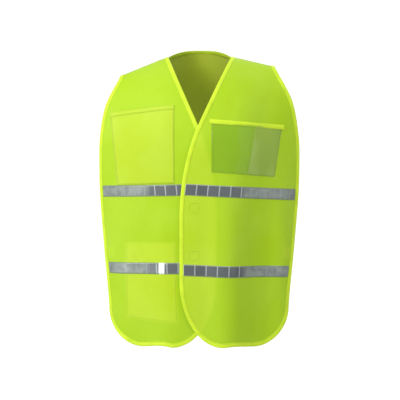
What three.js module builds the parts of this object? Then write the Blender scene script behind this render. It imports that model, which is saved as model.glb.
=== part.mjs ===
// High visibility vest with open sides, worn by a body that isn't there. Millimetres.
// +Z is up, the front faces -Y and the wearer's left is +X. The origin is midway between
// the two neck points, where the shoulder seams meet the neckline.
import * as THREE from "three";

// ---- The body form that the cloth hangs on ----
const NECK_HALF = 74; // centre line to a neck point
const CHEST_HALF = 231; // centre line to the side edges at their widest
const CHEST_Z = -250; // height of the widest line
const HEM_HALF = CHEST_HALF - 31;
const HEM_Z = -662;
const FRONT_DEPTH = 125; // shoulder line to the front, at the centre line
const FRONT_WRAP = 92; // how far the front turns back by its side edges
const FRONT_FALL = 240; // height over which the front curves forward from the shoulder
const BACK_DEPTH = 95;
const BACK_WRAP = 60;
const BACK_FALL = 200;
const WRAP_POWER = 2.2; // 2 is a parabola; more is flatter in the middle
const ROUND_POWER = 1.389; // how soon the cloth falls away from the shoulder line
const NECK_RISE = 22; // neck points to the middle of the back neckline
const NECK_SET_BACK = 66; // shoulder line to the middle of the back neckline
const NECK_SHARE = 0.4; // the part of the back's top edge that is neckline
const NECK_EASE = 24; // to each side of a neck point, where the shoulder line starts to slope

// The vest sits unevenly, so each shoulder has its own shape.
const LEFT = { hand: 1, shoulderHalf: CHEST_HALF - 55, shoulderDrop: 24, fullZ: -185 };
const RIGHT = { hand: -1, shoulderHalf: CHEST_HALF - 45, shoulderDrop: 46, fullZ: -185 };

// ---- Cloth, trims and the room between sewn layers ----
const CLOTH = 1;
const POCKET_CLOTH = 0.8;
const TAPE_THICKNESS = 0.8;
const TAPE_WIDTH = 25.4;
const VINYL = 0.8;
const BINDING_CLOTH = 0.7;
const BINDING_WIDTH = 9.6;
const FASTENER_THICKNESS = 1.2;
const ELASTIC_THICKNESS = 1.2;
const LAYER_GAP = 0.6; // between layers that are sewn together
// More room inside a folded binding, which crosses the curve of the shoulders.
const EDGE_ROOM = BINDING_WIDTH / 48;
const SEAM_GAP = 0.7; // between the fronts and the back along the shoulder line

// ---- Fronts ----
const OVERLAP_HALF = 41; // how far each front passes the centre line
const OVERLAP_LIFT = 5.5; // the left front lies this far outside the right one
const LIFT_FULL = 70; // distance from the centre line where that lift starts to fade
const LIFT_GONE = 175;
const NECK_V = { across: -7, z: -181 }; // where the neck edge runs into the front edge
const EDGE_SETTLE = 190; // height over which the front edge reaches the full overlap
const INNER_CORNER = { across: 100, high: 150 };
const OUTER_CORNER = { across: 78, high: 84 };

// ---- Reflective tape: heights of the middle line, at the front edge and at the side ----
const BACK_UPPER_TAPE_Z = -314;
const BACK_LOWER_TAPE_Z = HEM_Z + 174;
const RIGHT_UPPER_TAPE = { innerZ: -309, outerZ: -314 };
const LEFT_UPPER_TAPE = { innerZ: -309, outerZ: -322 };
const RIGHT_LOWER_TAPE = { innerZ: HEM_Z + 179, outerZ: HEM_Z + 174 };
const LEFT_LOWER_TAPE = { innerZ: HEM_Z + 174, outerZ: HEM_Z + 165 };

// ---- Pockets: [distance from the centre line, height] of each corner ----
const CHEST_POCKET_TOP = { topIn: [54, -120], topOut: [CHEST_HALF - 26, -134] };
const CHEST_POCKET_LOW = { inner: 52, outer: CHEST_HALF - 46 };
const POCKET_HEM = 10;
const INNER_POCKET = {
  topIn: [51, HEM_Z + 235],
  topOut: [CHEST_HALF - 65, HEM_Z + 233],
  lowIn: [45, HEM_Z + 55],
  lowOut: [CHEST_HALF - 69, HEM_Z + 64],
};
const ID_WINDOW = {
  topIn: [30, -152],
  topOut: [CHEST_HALF - 41, -163],
  lowIn: [30, -271],
  lowOut: [CHEST_HALF - 59, -281],
};
const ID_BINDING_WIDTH = 11;
const ID_BINDING_OVERHANG = 4; // past the window at each side

// ---- Fasteners, straps and shoulder seams ----
const FASTENER_SIZE = 24;
const FASTENER_X = 8; // on the wearer's right of the centre line
const FASTENER_HEIGHTS = {
  upper: -350,
  lower: RIGHT_LOWER_TAPE.innerZ + (TAPE_WIDTH + FASTENER_SIZE) / 2 + 2,
};
const STRAP_WIDTH = 25;
const STRAP_Z = -452;
const STRAP_SEWN = 22; // length sewn inside each panel
const STRAP_INSET = 4; // inside a side edge, where the strap turns to cross the gap
const SEAM_TAPE_WIDTH = 8;
const SEAM_TAPE_THICKNESS = 1.2;
const SEAM_TAPE_BELOW = 3.4; // under the shoulder line, clear of the curve of the cloth
const SEAM_TAPE_END = 16; // from each end of the shoulder, clear of the bindings

// ---- Mesh steps ----
const FRONT_ROWS = 22;
const BACK_ROWS = 22;
const PANEL_COLUMNS = 16;
const ROW_SPREAD = 1.6; // above 1, rows lie closer together by the shoulders
const ACROSS_STEP = 19;
const DOWN_STEP = 18;

const COLOURS = {
  cloth: 0xb4e81c,
  trim: 0xd2f52c,
  silver: 0x8f979b,
  vinyl: 0xb6d98a,
  fastener: 0xc8e637,
};

// ---------- Small helpers ----------

const clamp01 = (t) => Math.min(1, Math.max(0, t));
const smooth = (t) => clamp01(t) ** 2 * (3 - 2 * clamp01(t));
const mix = (a, b, t) => a + (b - a) * t;
const mixPair = (a, b, t) => [mix(a[0], b[0], t), mix(a[1], b[1], t)];
const steps = (count) => Array.from({ length: count + 1 }, (_, i) => i / count);
const spread = (count) => steps(count).map((t) => t ** ROW_SPREAD);

// ---------- The body form ----------

// A side edge's distance from the centre line at each height, before the corners are rounded.
function sideProfile({ shoulderHalf, shoulderDrop, fullZ }) {
  const points = [
    [shoulderHalf, 40 - shoulderDrop],
    [shoulderHalf, -shoulderDrop],
    [mix(shoulderHalf, CHEST_HALF, 0.7), mix(-shoulderDrop, fullZ, 0.5)],
    [mix(shoulderHalf, CHEST_HALF, 0.97), fullZ],
    [CHEST_HALF, CHEST_Z],
    [mix(CHEST_HALF, HEM_HALF, 0.1), mix(CHEST_Z, HEM_Z, 0.2)],
    [mix(CHEST_HALF, HEM_HALF, 0.45), mix(CHEST_Z, HEM_Z, 0.49)],
    [mix(CHEST_HALF, HEM_HALF, 0.8), mix(CHEST_Z, HEM_Z, 0.75)],
    [HEM_HALF, HEM_Z],
  ];
  const curve = new THREE.SplineCurve(points.map(([x, z]) => new THREE.Vector2(x, z)));
  const samples = curve.getPoints(160);
  return (z) => {
    const i = samples.findIndex((p) => p.y <= z);
    if (i < 1) return samples[i < 0 ? samples.length - 1 : 0].x;
    const [above, below] = [samples[i - 1], samples[i]];
    return mix(above.x, below.x, (above.y - z) / (above.y - below.y));
  };
}
LEFT.sideHalf = sideProfile(LEFT);
RIGHT.sideHalf = sideProfile(RIGHT);

// "down" is 0 on the shoulder line, 1 where the cloth starts to hang straight, and goes on.
const fallen = (down, power = ROUND_POWER) => (down < 1 ? down ** power : 1 + ROUND_POWER * (down - 1));
function downAt(share) {
  if (share < 1) return Math.max(share, 0) ** (1 / ROUND_POWER);
  return 1 + (share - 1) / ROUND_POWER;
}
const forward = (down) => Math.sin((Math.PI / 2) * Math.min(down, 1));

// How far the shoulder line has dropped at a distance from the centre line.
function ridgeDrop({ shoulderHalf, shoulderDrop }, across) {
  const slope = shoulderDrop / (shoulderHalf - NECK_HALF);
  const past = across - NECK_HALF;
  if (past > NECK_EASE) return slope * past;
  return (slope * Math.max(0, past + NECK_EASE) ** 2) / (4 * NECK_EASE);
}

const wrap = (x) => Math.abs(x / CHEST_HALF) ** WRAP_POWER;

// A front: "across" is the distance from the centre line towards its own side.
function frontPanel(side, lift) {
  const ridge = (across) => -ridgeDrop(side, across);
  const lifted = (across) => lift * (1 - smooth((across - LIFT_FULL) / (LIFT_GONE - LIFT_FULL)));
  const depth = (across) => FRONT_DEPTH - FRONT_WRAP * wrap(across) + lifted(across);
  return {
    side,
    turn: -side.hand,
    point(across, down) {
      const y = -SEAM_GAP / 2 - depth(across) * forward(down);
      return new THREE.Vector3(side.hand * across, y, ridge(across) - FRONT_FALL * fallen(down));
    },
    at: (across, z) => [across, downAt((ridge(across) - z) / FRONT_FALL)],
  };
}

// The back: "across" runs from side edge to side edge and is x at the widest line.
function backPanel() {
  function topEdge(across) {
    const side = across < 0 ? RIGHT : LEFT;
    const share = Math.abs(across) / CHEST_HALF;
    const s = share / NECK_SHARE;
    const neckDrop = ridgeDrop(side, NECK_HALF);
    const neckZ = mix(NECK_RISE, -neckDrop, s * s);
    if (s < 1) return [NECK_HALF * s * side.hand, NECK_SET_BACK * (1 - s * s), neckZ];
    const x = mix(NECK_HALF, side.shoulderHalf, (share - NECK_SHARE) / (1 - NECK_SHARE));
    return [x * side.hand, 0, -ridgeDrop(side, x)];
  }
  return {
    turn: 1,
    point(across, down) {
      const [topX, topY, topZ] = topEdge(across);
      const side = across < 0 ? RIGHT : LEFT;
      const power = mix(ROUND_POWER, 1, topY / NECK_SET_BACK); // steeper below the neckline
      const z = topZ * (1 - smooth(down)) - BACK_FALL * fallen(down, power);
      const grown = side.sideHalf(z) / side.shoulderHalf;
      const x = mix(topX * grown, (across / CHEST_HALF) * side.sideHalf(z), smooth(down));
      const depth = BACK_DEPTH - BACK_WRAP * wrap(x);
      return new THREE.Vector3(x, SEAM_GAP / 2 + mix(topY, depth, forward(down)), z);
    },
    at(x, z) {
      const side = x < 0 ? RIGHT : LEFT;
      return [(x / side.sideHalf(z)) * CHEST_HALF, downAt(-z / BACK_FALL)];
    },
  };
}

// The two directions along a panel at one of its points, and the way out of the cloth.
function directions(panel, [p, q]) {
  const e = 1e-3;
  const here = panel.point(p, q);
  const across = panel.point(p + e, q).sub(here).divideScalar(e);
  const down = panel.point(p, q + e).sub(here).divideScalar(e);
  const out = across.clone().cross(down).normalize().multiplyScalar(panel.turn);
  return { here, across, down, out };
}

function place(panel, point, off) {
  const { here, out } = directions(panel, point);
  return here.addScaledVector(out, off);
}

// Moves the points of an edge sideways within the cloth; positive is to the left when walking
// along the edge and seeing the outer face.
function aside(panel, edge, distance) {
  const parts = 4; // small moves, so that a curve is followed
  return edge.map((start, i) => {
    const next = panel.point(...edge[Math.min(i + 1, edge.length - 1)]);
    const along = next.sub(panel.point(...edge[Math.max(i - 1, 0)])).normalize();
    const onShoulder = start[1] < 1e-3 && (i === 0 || i === edge.length - 1);
    let [p, q] = start;
    for (let part = 0; part < parts; part++) {
      const { across, down, out } = directions(panel, [p, q]);
      const step = out.clone().cross(along).normalize().multiplyScalar(distance / parts);
      const [a, b, c] = [across.dot(across), across.dot(down), down.dot(down)];
      const [f, g] = [across.dot(step), down.dot(step)];
      p += (c * f - b * g) / (a * c - b * b);
      q = onShoulder ? 0 : Math.max(0, q + (a * g - b * f) / (a * c - b * b));
    }
    return [p, q];
  });
}

// ---------- Solids ----------

function solid(name, positions, triangles, colour) {
  const geometry = new THREE.BufferGeometry();
  const numbers = positions.flatMap((v) => v.toArray());
  geometry.setAttribute("position", new THREE.Float32BufferAttribute(numbers, 3));
  let volume = 0;
  for (const [a, b, c] of triangles) {
    volume += positions[a].dot(positions[b].clone().cross(positions[c]));
  }
  geometry.setIndex(triangles.flatMap(([a, b, c]) => (volume > 0 ? [a, b, c] : [a, c, b])));
  geometry.computeVertexNormals();
  const shiny = colour === COLOURS.silver || colour === COLOURS.vinyl;
  const roughness = shiny ? 0.25 : 0.9;
  const material = new THREE.MeshStandardMaterial({ color: colour, roughness, metalness: 0 });
  const mesh = new THREE.Mesh(geometry, material);
  mesh.name = name;
  return mesh;
}

// A closed solid from rings of the same number of points, with its two ends filled in.
function ringSolid(name, rings, endTriangles, colour) {
  const n = rings[0].length;
  const last = (rings.length - 1) * n;
  const triangles = [];
  for (let i = 0; i < last; i += n) {
    for (let j = 0; j < n; j++) {
      const k = (j + 1) % n;
      triangles.push([i + j, i + k, i + n + k], [i + j, i + n + k, i + n + j]);
    }
  }
  for (const [a, b, c] of endTriangles) triangles.push([c, b, a], [last + a, last + b, last + c]);
  return solid(name, rings.flat(), triangles, colour);
}

// Cloth over a grid of a panel's points, from one distance off the panel to another.
function clothSolid(name, panel, grid, from, to, colour = COLOURS.cloth) {
  const rings = grid.map((row) => {
    const inner = row.map((point) => place(panel, point, from));
    const outer = row.map((point) => place(panel, point, to));
    return [...inner, ...outer.reverse()];
  });
  const columns = grid[0].length;
  const ends = [];
  for (let j = 0; j + 1 < columns; j++) {
    const far = 2 * columns - 1 - j;
    ends.push([j, j + 1, far - 1], [j, far - 1, far]);
  }
  return ringSolid(name, rings, ends, colour);
}

// A folded binding along an edge: a U whose two legs lie on the two faces of what it covers.
// A leg that crosses a tight curve is made of more parts.
function bindingSolid(name, panel, edge, inwards, width, from, to, legParts = 1) {
  const [low, high] = [from - LAYER_GAP, to + LAYER_GAP];
  const leg = (start, end, off) => steps(legParts).map((t) => [mix(start, end, t), off]);
  const section = [
    ...leg(0, width, low - BINDING_CLOTH),
    ...leg(width, BINDING_CLOTH, low),
    ...leg(BINDING_CLOTH, width, high),
    ...leg(width, 0, high + BINDING_CLOTH),
  ];
  const lines = section.map(([distance]) => aside(panel, edge, distance * inwards));
  const rings = edge.map((_, i) => section.map(([, off], j) => place(panel, lines[j][i], off)));
  const legPoints = legParts + 1;
  const ends = [];
  for (const first of [0, 2 * legPoints]) {
    const last = first + 2 * legPoints - 1;
    for (let j = 0; j < legParts; j++) {
      ends.push([first + j, first + j + 1, last - j - 1], [first + j, last - j - 1, last - j]);
    }
  }
  ends.push([0, 2 * legPoints - 1, 2 * legPoints], [0, 2 * legPoints, 4 * legPoints - 1]);
  return ringSolid(name, rings, ends, COLOURS.trim);
}

// A grid between four edges that meet at their ends.
function patch(top, bottom, start, end) {
  return start.map((first, r) =>
    top.map((above, c) => {
      const [u, t] = [c / (top.length - 1), r / (start.length - 1)];
      const [ruledAcross, ruledDown] = [mixPair(first, end[r], u), mixPair(above, bottom[c], t)];
      const upper = mixPair(top[0], top[top.length - 1], u);
      const lower = mixPair(bottom[0], bottom[bottom.length - 1], u);
      const corners = mixPair(upper, lower, t);
      return [0, 1].map((k) => ruledAcross[k] + ruledDown[k] - corners[k]);
    }),
  );
}

// A four-cornered piece lying on a panel, from its corners' distances and heights.
function pieceGrid(panel, { topIn, topOut, lowIn, lowOut }) {
  const across = steps(Math.ceil((topOut[0] - topIn[0]) / ACROSS_STEP));
  const down = steps(Math.ceil((topIn[1] - lowIn[1]) / DOWN_STEP));
  return down.map((t) =>
    across.map((u) => panel.at(...mixPair(mixPair(topIn, topOut, u), mixPair(lowIn, lowOut, u), t))),
  );
}

// ---------- Panels and their bindings ----------

// How far from the centre line the neck edge and the front edge are at each height.
function frontEdge(z) {
  if (z > NECK_V.z) return mix(NECK_HALF, NECK_V.across, z / NECK_V.z);
  return mix(NECK_V.across, -OVERLAP_HALF, 1 - (1 - clamp01((NECK_V.z - z) / EDGE_SETTLE)) ** 2);
}

// The whole free edge of a front: from the neck point down the front edge, round the hem
// and up the side edge to the shoulder tip.
function frontOutline({ side }) {
  const lowIn = HEM_Z + INNER_CORNER.high;
  const lowOut = HEM_Z + OUTER_CORNER.high;
  const neckAndFront = spread(FRONT_ROWS).map((t) => [frontEdge(t * lowIn), t * lowIn]);
  const quarter = steps(8).map((t) => (t * Math.PI) / 2);
  const innerCorner = quarter.map((a) => [
    INNER_CORNER.across * (1 - Math.cos(a)) - OVERLAP_HALF,
    lowIn - INNER_CORNER.high * Math.sin(a),
  ]);
  const outerCorner = quarter.map((a) => [
    side.sideHalf(lowOut) - OUTER_CORNER.across * (1 - Math.sin(a)),
    lowOut - OUTER_CORNER.high * Math.cos(a),
  ]);
  const hemMiddle = steps(6).slice(1, -1).map((t) => mixPair(innerCorner[8], outerCorner[0], t));
  const sideEdge = spread(FRONT_ROWS).map((t) => {
    const z = mix(-side.shoulderDrop, lowOut, t);
    return [side.sideHalf(z), z];
  });
  const start = [...neckAndFront, ...innerCorner.slice(1, 5)];
  const hem = [...innerCorner.slice(4), ...hemMiddle, ...outerCorner.slice(0, 5)];
  const end = [...outerCorner.slice(4, 8), ...sideEdge.reverse()];
  return { start, hem, end };
}

// Picks a number of evenly spread points out of an edge.
function resample(edge, count) {
  return steps(count - 1).map((t) => {
    const i = Math.min(Math.floor(t * (edge.length - 1)), edge.length - 2);
    return mixPair(edge[i], edge[i + 1], t * (edge.length - 1) - i);
  });
}

const CLOTH_INSET = BINDING_CLOTH + LAYER_GAP; // the cloth ends inside the fold of its binding
const NECK_CLOTH_INSET = BINDING_WIDTH * 0.66; // deeper at the back neck, where the form bends sharply
const ON_CLOTH = CLOTH + LAYER_GAP;
const AROUND_CLOTH = [-EDGE_ROOM, CLOTH + EDGE_ROOM];
const TAPE_CLEAR = BINDING_WIDTH + 2.5 * LAYER_GAP; // tape ends, from the edge of a panel
const POCKET_CLEAR = 1.2; // between the chest pocket and the tape below it

function frontCloth(name, panel, inwards) {
  const { start, hem, end } = frontOutline(panel);
  const loop = [...start, ...hem.slice(1), ...end.slice(1)].map((p) => panel.at(...p));
  const edge = aside(panel, loop, CLOTH_INSET * inwards);
  const inner = edge.slice(0, start.length);
  const low = resample(edge.slice(start.length - 1, start.length + hem.length - 1), PANEL_COLUMNS + 1);
  const outer = resample(edge.slice(start.length + hem.length - 2).reverse(), inner.length);
  const top = resample([inner[0], outer[0]], low.length);
  return [
    clothSolid(`${name}_panel`, panel, patch(top, low, inner, outer), 0, CLOTH),
    bindingSolid(`${name}_edge_binding`, panel, loop, inwards, BINDING_WIDTH, ...AROUND_CLOTH),
  ];
}

function backCloth(panel) {
  const lowZ = HEM_Z + OUTER_CORNER.high;
  const quarter = steps(8).map((t) => (t * Math.PI) / 2);
  const cornerOf = ({ hand, sideHalf }) =>
    quarter.map((a) => [
      hand * (sideHalf(lowZ) - OUTER_CORNER.across * (1 - Math.cos(a))),
      lowZ - OUTER_CORNER.high * Math.sin(a),
    ]);
  const sideEdge = (hand) =>
    spread(BACK_ROWS).map((t) => [hand * CHEST_HALF, t * panel.at(0, lowZ)[1]]);
  const corner = (side) => cornerOf(side).map((p) => panel.at(...p));
  const left = [...sideEdge(1), ...corner(LEFT).slice(1, 5)];
  const right = [...sideEdge(-1), ...corner(RIGHT).slice(1, 5)];
  const hemEnds = [corner(LEFT).slice(4), corner(RIGHT).slice(4).reverse()];
  const hemHalf = HEM_HALF - OUTER_CORNER.across;
  const hemMiddle = steps(16).slice(1, -1).map((t) => panel.at(hemHalf * (1 - 2 * t), HEM_Z));
  const hem = [...hemEnds[0], ...hemMiddle, ...hemEnds[1]];
  const loop = [...left, ...hem.slice(1), ...right.reverse().slice(1)];
  const neck = steps(12).map((t) => [NECK_SHARE * CHEST_HALF * (2 * t - 1), 0]);

  const edge = aside(panel, loop, CLOTH_INSET);
  const outer = edge.slice(0, left.length);
  const low = edge.slice(left.length - 1, left.length + hem.length - 1);
  const inner = resample(edge.slice(left.length + hem.length - 2).reverse(), outer.length);
  const neckLine = aside(panel, neck, NECK_CLOTH_INSET);
  const shoulderCells = (low.length - neckLine.length) / 2;
  const shoulder = (from, to) => steps(shoulderCells).slice(0, -1).map((t) => mixPair(from, to, t));
  const top = [...shoulder(outer[0], neckLine[12]), ...[...neckLine].reverse()];
  const farSide = shoulder(inner[0], neckLine[0]).reverse();
  return [
    clothSolid("back_panel", panel, patch([...top, ...farSide], low, outer, inner), 0, CLOTH),
    bindingSolid("back_edge_binding", panel, loop, 1, BINDING_WIDTH, ...AROUND_CLOTH),
    bindingSolid("back_neck_binding", panel, neck, 1, BINDING_WIDTH, ...AROUND_CLOTH, 2),
  ];
}

// ---------- Tapes, pockets and fasteners ----------

// A point a distance along the cloth from another one at the same height.
function shifted(panel, across, z, distance) {
  const { across: stretch } = directions(panel, panel.at(across, z));
  return across + distance / stretch.length();
}

// A tape from one edge of a panel to the other, between their bindings.
function tape(name, panel, fromEdge, fromZ, toEdge, toZ) {
  const columns = steps(Math.ceil((2 * CHEST_HALF) / ACROSS_STEP));
  const rows = [TAPE_WIDTH / 2, -TAPE_WIDTH / 2].map((rise) => {
    const start = shifted(panel, fromEdge(fromZ + rise), fromZ + rise, TAPE_CLEAR);
    const end = shifted(panel, toEdge(toZ + rise), toZ + rise, -TAPE_CLEAR);
    return columns.map((t) => panel.at(mix(start, end, t), mix(fromZ, toZ, t) + rise));
  });
  return clothSolid(name, panel, rows, ON_CLOTH, ON_CLOTH + TAPE_THICKNESS, COLOURS.silver);
}

function frontTape(name, panel, { innerZ, outerZ }) {
  return tape(name, panel, frontEdge, innerZ, panel.side.sideHalf, outerZ);
}

function backTape(name, panel, z) {
  return tape(name, panel, (height) => -RIGHT.sideHalf(height), z, LEFT.sideHalf, z);
}

// The point just above a front's tape at a distance from the centre line.
function aboveTape({ side }, { innerZ, outerZ }, across) {
  const [start, end] = [frontEdge(innerZ) + TAPE_CLEAR, side.sideHalf(outerZ) - TAPE_CLEAR];
  const middle = mix(innerZ, outerZ, (across - start) / (end - start));
  return [across, middle + TAPE_WIDTH / 2 + POCKET_CLEAR];
}

function chestPocket(panel) {
  const top = ON_CLOTH + POCKET_CLOTH;
  const { topIn, topOut } = CHEST_POCKET_TOP;
  const lowIn = aboveTape(panel, RIGHT_UPPER_TAPE, CHEST_POCKET_LOW.inner);
  const lowOut = aboveTape(panel, RIGHT_UPPER_TAPE, CHEST_POCKET_LOW.outer);
  const hem = {
    topIn,
    topOut,
    lowIn: [topIn[0], topIn[1] - POCKET_HEM],
    lowOut: [topOut[0] - 1, topOut[1] - POCKET_HEM],
  };
  const hemFrom = top + LAYER_GAP;
  const grid = pieceGrid(panel, { topIn, topOut, lowIn, lowOut });
  const hemGrid = pieceGrid(panel, hem);
  const hemTo = hemFrom + POCKET_CLOTH;
  return [
    clothSolid("right_chest_pocket", panel, grid, ON_CLOTH, top, COLOURS.trim),
    clothSolid("right_chest_pocket_hem", panel, hemGrid, hemFrom, hemTo, COLOURS.trim),
  ];
}

function innerPocket(panel) {
  const grid = pieceGrid(panel, INNER_POCKET);
  const from = -LAYER_GAP - POCKET_CLOTH;
  return clothSolid("right_inner_pocket", panel, grid, from, -LAYER_GAP, COLOURS.trim);
}

// The clear window stands off the panel, with room for a card behind it.
function idPocket(panel) {
  const from = ON_CLOTH + BINDING_CLOTH + LAYER_GAP;
  const grid = pieceGrid(panel, ID_WINDOW);
  const { topIn, topOut } = ID_WINDOW;
  const foldRoom = BINDING_CLOTH + LAYER_GAP; // the window's top edge lies inside its fold
  const columns = steps(Math.ceil((topOut[0] - topIn[0]) / ACROSS_STEP));
  const overhang = ID_BINDING_OVERHANG / (topOut[0] - topIn[0]);
  const edge = columns.map((t) => {
    const [across, z] = mixPair(topIn, topOut, mix(-overhang, 1 + overhang, t));
    return panel.at(across, z + foldRoom);
  });
  return [
    clothSolid("id_pocket_window", panel, grid, from, from + VINYL, COLOURS.vinyl),
    bindingSolid("id_pocket_binding", panel, edge, -1, ID_BINDING_WIDTH, from, from + VINYL),
  ];
}

function fastener(name, panel, across, z, from) {
  const half = FASTENER_SIZE / 2;
  const rows = [z + half, z - half].map((height) =>
    [across - half, across, across + half].map((x) => panel.at(x, height)),
  );
  return clothSolid(name, panel, rows, from, from + FASTENER_THICKNESS, COLOURS.fastener);
}

// ---------- Side straps and shoulder seams ----------

// Elastic sewn inside a front's side edge and the back's, crossing the open side.
function sideStrap(name, front, back) {
  const { hand, sideHalf } = front.side;
  const outer = -LAYER_GAP - BINDING_CLOTH - LAYER_GAP;
  const stations = [
    [front, STRAP_SEWN + STRAP_INSET],
    [front, STRAP_INSET],
    [back, STRAP_INSET],
    [back, STRAP_SEWN + STRAP_INSET],
  ];
  const rings = stations.map(([panel, inset]) => {
    const corner = (rise, off) => {
      const z = STRAP_Z + rise;
      const edge = panel === front ? sideHalf(z) : hand * sideHalf(z);
      const x = shifted(panel, edge, z, panel === front ? -inset : -hand * inset);
      return place(panel, panel.at(x, z), off);
    };
    const half = STRAP_WIDTH / 2;
    const inner = outer - ELASTIC_THICKNESS;
    return [corner(half, outer), corner(-half, outer), corner(-half, inner), corner(half, inner)];
  });
  return ringSolid(name, rings, [[0, 1, 2], [0, 2, 3]], COLOURS.cloth);
}

// A flat tape under each shoulder seam, where the vest rests on a shoulder or a hanger's arm.
function shoulderTape(name, { hand, shoulderHalf, shoulderDrop }) {
  const slope = shoulderDrop / (shoulderHalf - NECK_HALF);
  const half = SEAM_TAPE_WIDTH / 2;
  const rings = [NECK_HALF + SEAM_TAPE_END, shoulderHalf - SEAM_TAPE_END].map((x) => {
    const top = -slope * (x - NECK_HALF) - SEAM_TAPE_BELOW;
    const bottom = top - SEAM_TAPE_THICKNESS;
    const section = [[-half, top], [half, top], [half, bottom], [-half, bottom]];
    return section.map(([y, z]) => new THREE.Vector3(hand * x, y, z));
  });
  return ringSolid(name, rings, [[0, 1, 2], [0, 2, 3]], COLOURS.cloth);
}

// ---------- The vest ----------

const back = backPanel();
const rightFront = frontPanel(RIGHT, 0);
const leftFront = frontPanel(LEFT, OVERLAP_LIFT);

const vest = new THREE.Group();
vest.name = "high_visibility_vest";
vest.add(...backCloth(back));
vest.add(backTape("back_upper_tape", back, BACK_UPPER_TAPE_Z));
vest.add(backTape("back_lower_tape", back, BACK_LOWER_TAPE_Z));
vest.add(shoulderTape("right_shoulder_seam_tape", RIGHT));
vest.add(shoulderTape("left_shoulder_seam_tape", LEFT));
vest.add(sideStrap("right_side_strap", rightFront, back));
vest.add(sideStrap("left_side_strap", leftFront, back));

vest.add(...frontCloth("right_front", rightFront, RIGHT.hand));
vest.add(frontTape("right_front_upper_tape", rightFront, RIGHT_UPPER_TAPE));
vest.add(frontTape("right_front_lower_tape", rightFront, RIGHT_LOWER_TAPE));
vest.add(...chestPocket(rightFront));
vest.add(innerPocket(rightFront));

vest.add(...frontCloth("left_front", leftFront, LEFT.hand));
vest.add(frontTape("left_front_upper_tape", leftFront, LEFT_UPPER_TAPE));
vest.add(frontTape("left_front_lower_tape", leftFront, LEFT_LOWER_TAPE));
vest.add(...idPocket(leftFront));

const hookFrom = -LAYER_GAP - FASTENER_THICKNESS;
for (const [height, z] of Object.entries(FASTENER_HEIGHTS)) {
  vest.add(fastener(`${height}_loop_patch`, rightFront, FASTENER_X, z, ON_CLOTH));
  vest.add(fastener(`${height}_hook_patch`, leftFront, -FASTENER_X, z, hookFrom));
}

export default vest;
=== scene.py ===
"""A high visibility vest, as worn, in soft studio light. Metres, in the frame of its CAD model:
+Z up, the front faces -Y, the wearer's left is +X, the origin between the two neck points."""

import math

import bpy
import numpy as np
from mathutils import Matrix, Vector


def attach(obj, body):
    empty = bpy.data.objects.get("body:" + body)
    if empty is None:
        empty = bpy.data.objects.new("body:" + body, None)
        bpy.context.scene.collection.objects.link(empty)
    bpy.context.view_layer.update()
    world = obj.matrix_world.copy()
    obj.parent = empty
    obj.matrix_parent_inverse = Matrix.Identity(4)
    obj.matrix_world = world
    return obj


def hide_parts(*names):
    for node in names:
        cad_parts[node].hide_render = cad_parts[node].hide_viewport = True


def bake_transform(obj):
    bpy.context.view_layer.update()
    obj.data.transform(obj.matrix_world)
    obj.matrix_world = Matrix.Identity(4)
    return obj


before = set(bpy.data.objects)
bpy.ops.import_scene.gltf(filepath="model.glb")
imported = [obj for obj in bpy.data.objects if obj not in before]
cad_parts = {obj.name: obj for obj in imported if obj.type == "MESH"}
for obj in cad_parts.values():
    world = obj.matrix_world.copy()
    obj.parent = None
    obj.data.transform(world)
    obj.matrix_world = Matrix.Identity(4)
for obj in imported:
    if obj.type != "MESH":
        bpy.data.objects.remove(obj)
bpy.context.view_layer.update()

MM = 0.001

# ---- The body form, as in the CAD model ----
NECK_HALF = 74 * MM
CHEST_HALF = 231 * MM
CHEST_Z = -250 * MM
HEM_HALF = 200 * MM
HEM_Z = -662 * MM
FRONT_DEPTH, FRONT_WRAP, FRONT_FALL = 125 * MM, 92 * MM, 240 * MM
BACK_DEPTH, BACK_WRAP, BACK_FALL = 95 * MM, 60 * MM, 200 * MM
WRAP_POWER = 2.2
ROUND_POWER = 1.389
NECK_RISE = 22 * MM
NECK_SET_BACK = 66 * MM
NECK_SHARE = 0.4
NECK_EASE = 24 * MM
SHOULDER_GAP = 0.25 * MM  # from the plane through the shoulder seams to each panel

OVERLAP_HALF = 41 * MM
OVERLAP_LIFT = 5.5 * MM
LIFT_FULL, LIFT_GONE = 70 * MM, 175 * MM
NECK_V = (-7 * MM, -181 * MM)
EDGE_SETTLE = 190 * MM
INNER_CORNER = (100 * MM, 150 * MM)
OUTER_CORNER = (78 * MM, 84 * MM)

BINDING_WIDTH = 9.6 * MM
TAPE_WIDTH = 25.4 * MM
# Heights of a tape's middle line: at the front edge, at the side.
RIGHT_UPPER_TAPE = (-309 * MM, -314 * MM)
LEFT_UPPER_TAPE = (-309 * MM, -322 * MM)
RIGHT_LOWER_TAPE = (-483 * MM, -488 * MM)
LEFT_LOWER_TAPE = (-488 * MM, -497 * MM)
BACK_UPPER_TAPE_Z = -314 * MM
BACK_LOWER_TAPE_Z = -488 * MM

# ---- Layers: distances off the inner face of a panel's CAD solid ----
CLOTH_IN, CLOTH_OUT = 0.3 * MM, 0.8 * MM
SEWN = 0.12 * MM  # between layers that are sewn together
ON_CLOTH, UNDER_CLOTH = CLOTH_OUT + SEWN, CLOTH_IN - SEWN
POCKET_THICK = 0.45 * MM
POCKET_PUFF = 2.2 * MM  # how far the chest pocket stands off in the middle of its mouth


def clamp01(t):
    return np.clip(t, 0, 1)


def smooth(t):
    return clamp01(t) ** 2 * (3 - 2 * clamp01(t))


def mix(a, b, t):
    return a + (b - a) * t


def bump(t):
    """1 in the middle, falling to 0 at distance 1 on both sides."""
    return smooth(1 - np.abs(t))


# ---------- The body form ----------


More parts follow.
